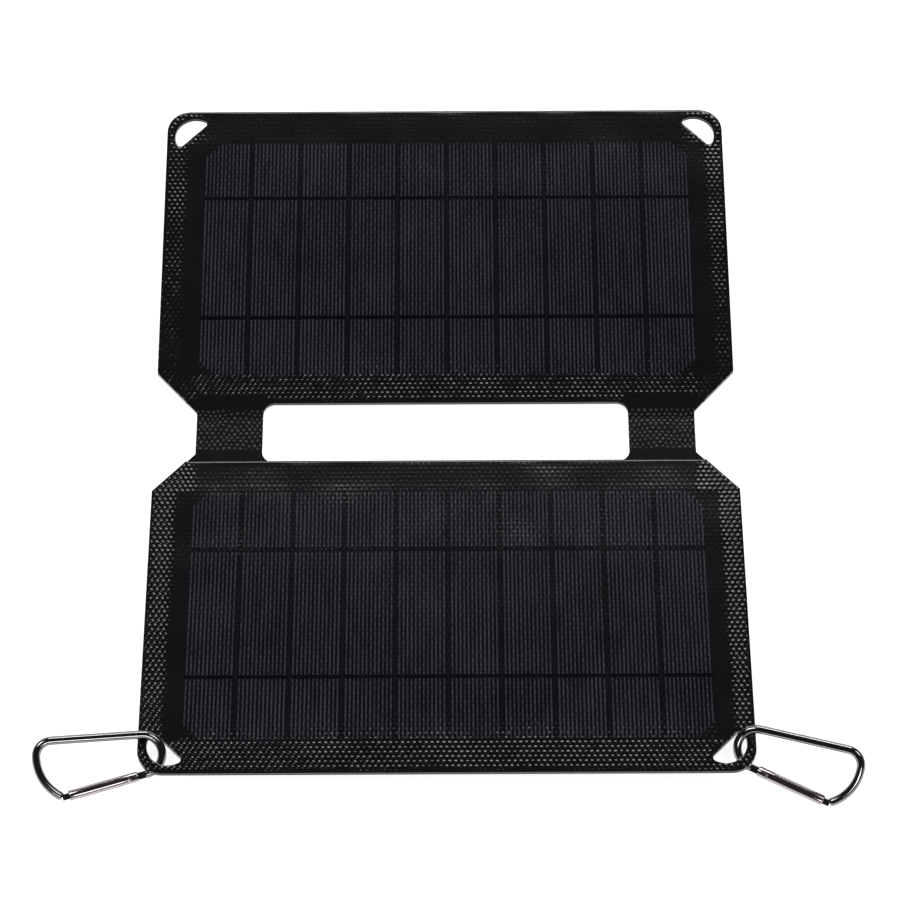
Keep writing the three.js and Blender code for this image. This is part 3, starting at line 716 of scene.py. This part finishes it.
def film_mesh(side):
    """The closed film: dimpled top, side wall, rim underneath and the pocket for the cells."""
    outer = resampled(panel_outline(), 0.9)
    holes = [resampled(eyelet(side), 0.5) for side in (1, -1)]
    pocket = inset_outline(*CELL_POCKET)
    grid = dimple_points()
    clear = between_loops(grid, outer, holes) & (distance_to(grid, outer) > 0.3)
    for hole in holes:
        clear &= distance_to(grid, hole) > 0.25

    top, top_faces = triangulate([outer, *holes], grid[clear],
                                 lambda c: between_loops(c, outer, holes))
    rim, rim_faces = triangulate([outer, *holes, pocket], [],
                                 lambda c: between_loops(c, outer, [*holes, pocket]))
    ceiling, ceiling_faces = triangulate([pocket], [], lambda c: inside_loop(c, pocket))
    rim_start, ceiling_start = len(top), len(top) + len(rim)
    edge, relief = dimple_relief(top, outer, holes, side)
    points = np.concatenate([
        np.column_stack([top, film_height(top, edge, relief, side)]),
        np.column_stack([rim, np.full(len(rim), FILM_BASE)]),
        np.column_stack([ceiling, np.full(len(ceiling), POCKET_TOP)]),
    ])
    triangles = np.concatenate([top_faces, rim_faces[:, ::-1] + rim_start,
                                ceiling_faces[:, ::-1] + ceiling_start])
    walls = wall_faces([outer, *holes], top, 0, rim, rim_start)
    walls += wall_faces([pocket], rim, rim_start, ceiling, ceiling_start)
    relief = np.concatenate([relief, np.zeros(len(points) - len(top))])
    return points, [tuple(f) for f in triangles.tolist()] + walls, relief


def nearest_index(points, where):
    return [int(np.argmin(((where - p) ** 2).sum(axis=1))) for p in points]


def wall_faces(loops, top, top_start, bottom, bottom_start):
    faces = []
    for loop in loops:
        upper = nearest_index(loop, top)
        lower = nearest_index(loop, bottom)
        for i in range(len(loop)):
            j = (i + 1) % len(loop)
            faces.append((upper[i] + top_start, lower[i] + bottom_start,
                          lower[j] + bottom_start, upper[j] + top_start))
    return faces


def build_films(materials):
    for side, (matrix, body) in PANELS.items():
        points, faces, relief = film_mesh(side)
        film = closed_object(f"{side}_film_skin", points, faces, materials[f"{side}_film"], matrix)
        attribute = film.data.attributes.new("relief", "FLOAT", "POINT")
        attribute.data.foreach_set("value", relief.astype(np.float32))
        sharpen(film, 50)
        place(film, body, "front_film", f"{side}_front_film")


# ---------------------------------------------------------------- back cloth and straps

def extruded(name, outer, holes, low, high, material, matrix=Matrix.Identity(4)):
    """A closed slab over an outline with holes."""
    flat, faces = triangulate([outer, *holes], [], lambda c: between_loops(c, outer, holes))
    count = len(flat)
    points = np.concatenate([np.column_stack([flat, np.full(count, high)]),
                             np.column_stack([flat, np.full(count, low)])])
    triangles = np.concatenate([faces, faces[:, ::-1] + count])
    all_faces = [tuple(f) for f in triangles.tolist()]
    all_faces += wall_faces([outer, *holes], flat, 0, flat, count)
    obj = closed_object(name, points, all_faces, material, matrix)
    sharpen(obj, 30)
    return obj


def build_back_cloths(materials):
    for side, (matrix, body) in PANELS.items():
        cloth = extruded(f"{side}_back_fabric", resampled(panel_outline(), 6.0),
                         [eyelet(1), eyelet(-1)], 0.02, CLOTH_TOP, materials["cloth"], matrix)
        place(cloth, body, "back_cloth", f"{side}_back_cloth")


def eased(value, low, width):
    """0 up to low, then smoothly up to 1 over the width."""
    part = min(max((value - low) / width, 0), 1)
    return part * part * (3 - 2 * part)


def strap_section(reach, lift):
    """Inner and outer edge and top height of the strap at a distance from the fold's middle."""
    inner, outer = STRAP
    straight = SLOT_HALF - SLOT_CORNER_R
    if reach > straight:
        depth = min(reach - straight, SLOT_CORNER_R)
        inner -= SLOT_CORNER_R - math.sqrt(max(SLOT_CORNER_R ** 2 - depth ** 2, 0))
    if reach > CHAMFER_IN[1]:
        outer = chamfer_x(reach)
    return inner, outer, STRAP_TOP + lift * eased(reach, *STRAP_LIFT_RUN)


def build_straps(materials):
    """Each strap is one run of cloth in two halves, and each half is shaped with a bend at its own
    hinge line, leaning as its panel does at rest.
    """
    for side, sign in (("left", -1), ("right", 1)):
        for panel, direction in (("lower", -1), ("upper", 1)):
            name = f"{side}_strap_{panel}_half"
            build_strap_half(materials["strap"], name, sign, panel, direction)
        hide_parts(f"strap_{side}")


def build_strap_half(material, name, sign, panel, direction):
    reaches = np.concatenate([np.linspace(0, 11, 23), np.linspace(11, 16.4, 19)[1:]])
    lean = {"lower": LOWER_LEAN, "upper": UPPER_LEAN}[panel]
    middle = Vector((FOLD_MIDDLE.x, FOLD_MIDDLE.y, FOLD_MIDDLE.z - HINGE_Z * MM))
    top, bottom, flat = [], [], []
    for reach in reaches:
        inner, outer, height = strap_section(reach, STRAP_LIFT[panel])
        for i in range(STRAP_STEPS + 1):
            x = sign * (inner + (outer - inner) * i / STRAP_STEPS)
            flat.append((x * MM, direction * reach * MM, 0))
            top.append(leaned(x, reach, height, direction, lean))
            bottom.append(leaned(x, reach, STRAP_BASE, direction, lean))
    rows, columns = len(reaches), STRAP_STEPS + 1
    faces = grid_faces(rows, columns, 0, False) + grid_faces(rows, columns, rows * columns, True)
    faces += border_faces(rows, columns, rows * columns)
    strap = closed_object(name, top + bottom, faces, material, Matrix.Translation(middle))
    sharpen(strap, 50)
    attribute = strap.data.attributes.new("strap_place", "FLOAT_VECTOR", "POINT")
    attribute.data.foreach_set("vector", np.array(flat + flat, np.float32).ravel())
    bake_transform(strap)


def leaned(x, reach, z, direction, lean):
    """A point of the strap at rest: past the hinge line it leans with its panel."""
    angle = lean * eased(reach, *STRAP_LEAN_RUN)
    y, up = reach - HINGE_Y, z - HINGE_Z
    turned_y = y * math.cos(angle) - up * math.sin(angle) + HINGE_Y
    turned_z = y * math.sin(angle) + up * math.cos(angle) + HINGE_Z
    return (x, direction * turned_y, turned_z)


def grid_faces(rows, columns, start, flipped):
    """Quads over a grid of points that are numbered row by row from start."""
    faces = []
    for r in range(rows - 1):
        for c in range(columns - 1):
            a = start + r * columns + c
            quad = (a, a + 1, a + columns + 1, a + columns)
            faces.append(quad[::-1] if flipped else quad)
    return faces


def border_faces(rows, columns, offset):
    """Quads that join the borders of two such grids, the second one offset from the first."""
    loop = list(range(columns))
    loop += [r * columns + columns - 1 for r in range(1, rows)]
    loop += [(rows - 1) * columns + c for c in range(columns - 2, -1, -1)]
    loop += [r * columns for r in range(rows - 2, 0, -1)]
    return [(a, b, b + offset, a + offset) for a, b in zip(loop, loop[1:] + loop[:1])]


# ---------------------------------------------------------------- carabiners

def seat_matrix(seat):
    """Row-frame matrix of a carabiner's own frame, threaded through its eyelet."""
    heading, tilt, drift = (math.radians(seat[k]) for k in ("heading", "tilt", "drift"))
    bend = math.radians(seat["bend"])
    side = seat["side"]
    crossing = Vector((math.cos(heading) * side, math.sin(heading), 0))
    across = Vector((-math.sin(heading) * side, math.cos(heading), 0)) * math.cos(tilt)
    across += Vector((0, 0, -math.sin(tilt)))
    spine = crossing * math.cos(drift) - across * math.sin(drift)
    gateward = crossing * math.sin(drift) + across * math.cos(drift)
    turn = Matrix((spine, gateward, spine.cross(gateward))).transposed()
    threaded = turn @ Vector((-NARROW_R * math.sin(bend), NARROW_R * (1 - math.cos(bend)), 0))
    hole = Vector((side * (PANEL_HALF - seat["inset"]), PANEL_END - seat["end"], PANEL_TOP / 2))
    local = Matrix.Translation((hole - threaded) * MM) @ turn.to_4x4()
    return LOWER @ local


GATE_ROOT = NARROW_R * np.array([-math.sin(GATE_ANGLE), 1 + math.cos(GATE_ANGLE), 0.0])
GATE_DIRECTION = np.array([math.cos(GATE_ANGLE), math.sin(GATE_ANGLE), 0.0])
GATE_MATRIX = Matrix.Translation(Vector(GATE_ROOT) * MM) @ Matrix.Rotation(GATE_ANGLE, 4, "Z")


def wire_line():
    """Centreline of the bent wire, from the stub at the gate's pivot to the nose."""
    points = [GATE_ROOT + GATE_DIRECTION * s for s in np.linspace(STUB_END, 0, 4)[:-1]]
    for angle in np.linspace(math.pi - GATE_ANGLE, 0, 44):
        points.append(NARROW_R * np.array([-math.sin(angle), 1 - math.cos(angle), 0]))
    spine = np.array([SPINE_LENGTH, 0, 0])
    points += [spine * part for part in np.linspace(0, 1, 14)[1:]]
    for heading in np.radians(np.linspace(0, SHOULDER_TURN, 22)[1:]):
        points.append(spine + SHOULDER_R * np.array([math.sin(heading), 1 - math.cos(heading), 0]))
    turn = math.radians(SHOULDER_TURN)
    last = points[-1]
    centre = last + NOSE_R * np.array([-math.sin(turn), math.cos(turn), 0])
    for heading in np.radians(np.linspace(SHOULDER_TURN, SHOULDER_TURN + NOSE_TURN, 34)[1:]):
        points.append(centre + NOSE_R * np.array([math.sin(heading), -math.cos(heading), 0]))
    return np.array(points)


def softened(points, rounds=3):
    """Eases the joins between straight and bent stretches."""
    line = points.copy()
    for _ in range(rounds):
        line[1:-1] = 0.25 * line[:-2] + 0.5 * line[1:-1] + 0.25 * line[2:]
    return line


def swept(line, radii, sides=28):
    """Closed round bar along a line that lies in the XY plane."""
    points, faces = [], []
    up = np.array([0, 0, 1])
    for centre, tangent, radius in zip(line, np.gradient(line, axis=0), radii):
        tangent = tangent / np.linalg.norm(tangent)
        normal = np.array([-tangent[1], tangent[0], 0])
        for k in range(sides):
            a = math.tau * k / sides
            points.append(centre + radius * (math.cos(a) * normal + math.sin(a) * up))
    for start in range(0, (len(line) - 1) * sides, sides):
        for k in range(sides):
            j = (k + 1) % sides
            faces.append((start + k, start + j, start + sides + j, start + sides + k))
    faces.append(tuple(range(sides))[::-1])
    faces.append(tuple((len(line) - 1) * sides + k for k in range(sides)))
    return points, faces


def lathed(profile, sides):
    """Solid turned round its own X axis from (x, radius) pairs that start and end at radius 0."""
    points, faces, rings = [], [], []
    for x, radius in profile:
        first = len(points)
        for a in np.arange(sides if radius else 1) * math.tau / sides:
            points.append((x, radius * math.cos(a), radius * math.sin(a)))
        rings.append(range(first, len(points)))
    for first, second in zip(rings, rings[1:]):
        for k in range(sides):
            j = (k + 1) % sides
            a, b = first[k % len(first)], first[j % len(first)]
            c, d = second[j % len(second)], second[k % len(second)]
            faces.append(tuple(dict.fromkeys((a, b, c, d))))
    return points, faces


def cutter(name, size, x):
    """Block with its middle on the X axis, to cut with."""
    corners = [(i * size[0] / 2 + x, j * size[1] / 2, k * size[2] / 2)
               for i in (-1, 1) for j in (-1, 1) for k in (-1, 1)]
    faces = [(0, 1, 3, 2), (4, 6, 7, 5), (0, 4, 5, 1), (2, 3, 7, 6), (0, 2, 6, 4), (1, 5, 7, 3)]
    return closed_object(name, corners, faces, bpy.data.materials[0], smooth=False)


def boolean(obj, tool, operation="DIFFERENCE"):
    """Cuts the tool from the object, or joins it on, and removes it."""
    modifier = obj.modifiers.new("cut", "BOOLEAN")
    modifier.operation = operation
    modifier.solver = "EXACT"
    modifier.object = tool
    apply_modifiers(obj)
    bpy.data.objects.remove(tool)


def gate_tube(name, material, matrix):
    """The gate, lying along its own X axis: a tube with a fork at each end and a bore inside."""
    start, end = GATE_SPAN
    soft, shy = GATE_END_ROUND, GATE_END_SHY
    bore_in, bore_out = BORE_SPAN
    profile = [(start, 0), (start, GATE_R - soft), (start + shy, GATE_R - shy),
               (start + soft, GATE_R)]
    profile += [(start + (end - start) * part, GATE_R) for part in (0.25, 0.5, 0.75)]
    profile += [(end - soft, GATE_R), (end - shy, GATE_R - shy), (end, GATE_R - soft), (end, 0)]
    tube = closed_object(name, *lathed(profile, 48), material)
    fork_depth = bore_in + 0.5 - start
    bore = [(bore_in, 0), (bore_in, BORE_R), (bore_out, BORE_R), (bore_out, 0)]
    boolean(tube, cutter("fork_cut", (2 * fork_depth, CUT_WIDTH, 2 * FORK_HALF), start))
    boolean(tube, cutter("nose_cut", (2 * FORK_DEPTH, CUT_WIDTH, 2 * FORK_HALF), end))
    boolean(tube, closed_object("bore_cut", *lathed(bore, 24), material))
    bevel_edges(tube, 0.12, 2)
    sharpen(tube, 40)
    tube.matrix_world = matrix
    return tube


def tang_outlines():
    """Flat tail that the gate turns on and flat hook that its nose closes on, along the gate."""
    tail = [(STUB_END - 1, -TANG_HALF), (RIVET_AT, -TANG_HALF)]
    tail += arc((RIVET_AT, 0), TANG_HALF, -math.pi / 2, math.pi / 2, 16)[1:]
    tail += [(STUB_END - 1, TANG_HALF)]
    tip, root = NOSE_TANG
    half = TANG_HALF - 0.2
    notch = PIN_R + 0.3
    hook = [(root, half), (tip + 0.5, half), (tip, half - 0.5), (tip, -half + 0.3),
            (tip + 0.3, -half), (PIN_AT - notch, -half)]
    hook += arc((PIN_AT, 0), notch, math.pi, 0, 10)
    hook += [(PIN_AT + notch, -half), (root, -half)]
    return {"tail": tail, "hook": hook}


def wire_body(name, material, matrix):
    """The bent wire with rounded ends and its two tangs."""
    line = softened(wire_line())
    length = np.concatenate([[0], np.cumsum(np.linalg.norm(np.diff(line, axis=0), axis=1))])
    to_end = np.minimum(length, length[-1] - length)
    radii = WIRE_R - WIRE_END_ROUND * (1 - rising(to_end, 0, 0.5)) ** 2
    wire = closed_object(name, *swept(line, radii), material)
    half = TANG_THICKNESS / 2
    for label, outline in tang_outlines().items():
        tang = extruded(f"{name}_{label}", np.array(outline), [], -half, half, material)
        tang.data.transform(GATE_MATRIX)
        boolean(wire, tang, "UNION")
    sharpen(wire, 42)
    wire.matrix_world = matrix
    return wire


def domed_pin(name, material, matrix, along, radius, half, head):
    """Pin across the gate with low domed ends; half is half its length."""
    profile = [(-half, 0), (-half, head * 0.6), (-half + 0.1, head), (-half + 0.3, head),
               (-half + 0.3, radius), (half - 0.3, radius), (half - 0.3, head), (half - 0.1, head),
               (half, head * 0.6), (half, 0)]
    pin = closed_object(name, *lathed(profile, 24), material)
    sharpen(pin, 50)
    across = Matrix.Translation((along * MM, 0, 0)) @ Matrix.Rotation(math.pi / 2, 4, "Y")
    pin.matrix_world = matrix @ GATE_MATRIX @ across
    return pin


def build_carabiners(materials):
    for side, seat in SEATS.items():
        matrix = seat_matrix(seat)
        clip = f"{side}_carabiner"
        wire = wire_body(f"{clip}_wire", materials["chrome"], matrix)
        place(wire, clip, "polished_steel", f"{clip}_body")
        gate = gate_tube(f"{clip}_gate_tube", materials["gate"], matrix @ GATE_MATRIX)
        place(gate, f"{side}_gate", "gate_aluminium", f"{clip}_gate")
        steel = materials["screw"]
        rivet = domed_pin(f"{clip}_pivot_rivet", steel, matrix, RIVET_AT, RIVET_R, 2.3, 1.05)
        place(rivet, f"{side}_gate", "fastener_steel", f"{clip}_rivet")
        pin = domed_pin(f"{clip}_latch_pin", steel, matrix, PIN_AT, PIN_R, 2.05, 0.62)
        place(pin, f"{side}_gate", "fastener_steel", f"{clip}_nose_pin")


# ---------------------------------------------------------------- regulator box and inner nodes

def softened_copy(node, name, material, width, body, slot):
    """A copy of a CAD node with its sharp edges rounded, which stands for the node."""
    source = frame["nodes"][node]
    obj = bpy.data.objects.new(name, source.data.copy())
    bpy.context.scene.collection.objects.link(obj)
    obj.data.materials.clear()
    obj.data.materials.append(material)
    bm = bmesh.new()
    bm.from_mesh(obj.data)
    bmesh.ops.remove_doubles(bm, verts=bm.verts, dist=1e-6)
    bmesh.ops.dissolve_limit(bm, angle_limit=math.radians(1.0), verts=bm.verts, edges=bm.edges)
    bm.to_mesh(obj.data)
    bm.free()
    bevel_edges(obj, width, 3)
    sharpen(obj, 32)
    place(obj, body, slot, node)


def build_box(materials):
    for node, name, width in (("housing_base", "housing_shell", 0.35),
                              ("housing_cover", "housing_lid", 0.3)):
        softened_copy(node, name, materials["housing"], width, "upper_panel", "housing_plastic")


# A CAD node that stays takes the look of the first word found in its name.
NODE_LOOKS = (
    ("stiffener", "laminate"), ("_cell_", "cell"), ("ribbon", "ribbon"), ("circuit", "circuit"),
    ("_shell", "tin"), ("capacitor", "tin"), ("_core", "insulator"), ("chip", "insulator"),
    ("light", "lens"), ("inductor", "ferrite"), ("screw", "screw"), ("spring", "spring"),
    ("plunger", "spring"),
)


def dress_nodes(materials):
    for name, node in frame["nodes"].items():
        for word, look in NODE_LOOKS:
            if word in name:
                node.data.materials.clear()
                node.data.materials.append(materials[look])
                break


# ---------------------------------------------------------------- stage, light and camera

def build_stage():
    """A wide pale floor just under the panels."""
    s = Shader("pale_floor", (0.9, 0.9, 0.9), 0.85,
               Emission_Color=(1, 1, 1, 1), Emission_Strength=0.85)
    s.color(s.mix(s.noise(3.0), (0.90, 0.90, 0.90), (0.925, 0.925, 0.925)))
    half = 6000.0
    corners = [(-half, -half, 0), (half, -half, 0), (half, half, 0), (-half, half, 0)]
    below = Matrix.Translation((0, 0, -0.2 * MM))
    floor = mesh_object("floor", corners, [(0, 1, 2, 3)], below, s.material)


def area_light(name, place_at, size, power):
    """A soft box of the given width and height, aimed at the origin."""
    data = bpy.data.lights.new(name, "AREA")
    data.shape = "RECTANGLE"
    data.size, data.size_y = size
    data.energy = power
    light = bpy.data.objects.new(name, data)
    bpy.context.scene.collection.objects.link(light)
    light.location = place_at
    light.rotation_euler = (-Vector(place_at)).to_track_quat("-Z", "Y").to_euler()


def build_lights():
    world = bpy.data.worlds.new("studio")
    world.use_nodes = True
    background = world.node_tree.nodes["Background"]
    background.inputs["Color"].default_value = (1, 1, 1, 1)
    background.inputs["Strength"].default_value = 0.03
    bpy.context.scene.world = world
    area_light("key", (-1.33, 0.36, 1.97), (0.9, 0.9), 13)
    area_light("fill", (1.33, 0.20, 1.97), (0.9, 0.9), 8)
    area_light("front", (0.2, -1.9, 1.2), (0.9, 0.5), 8)
    area_light("back", (0.0, 1.6, 0.5), (2.6, 0.5), 7)
    area_light("sparkle", (0.08, 1.34, 1.485), (1.0, 0.32), 8.5)


def build_camera():
    """Long lens over the near edge; it aims a little off a point just above the fold."""
    distance = 1.337
    elevation = math.radians(61.4)
    roll = math.radians(-0.25)
    aim_right = -0.00195
    aim_up = 0.00836
    forward = Vector((0, math.cos(elevation), -math.sin(elevation)))
    up = Vector((0, math.sin(elevation), math.cos(elevation)))
    right = Vector((1, 0, 0))
    aim = FOLD_MIDDLE.copy()
    aim.z += 0.0013
    data = bpy.data.cameras.new("camera")
    data.sensor_width = 36
    data.lens = 115.16
    data.clip_start = 0.05
    camera = bpy.data.objects.new("camera", data)
    bpy.context.scene.collection.objects.link(camera)
    turn = Matrix((right, up, -forward)).transposed() @ Matrix.Rotation(roll, 3, "Z")
    place_at = aim - aim_right * right - aim_up * up - distance * forward
    camera.matrix_world = Matrix.Translation(place_at) @ turn.to_4x4()
    bpy.context.scene.camera = camera


materials = make_materials()
build_camera()
build_films(materials)
build_back_cloths(materials)
build_straps(materials)
build_carabiners(materials)
build_box(materials)
dress_nodes(materials)
build_stage()
build_lights()
bpy.context.scene.view_settings.view_transform = "Standard"
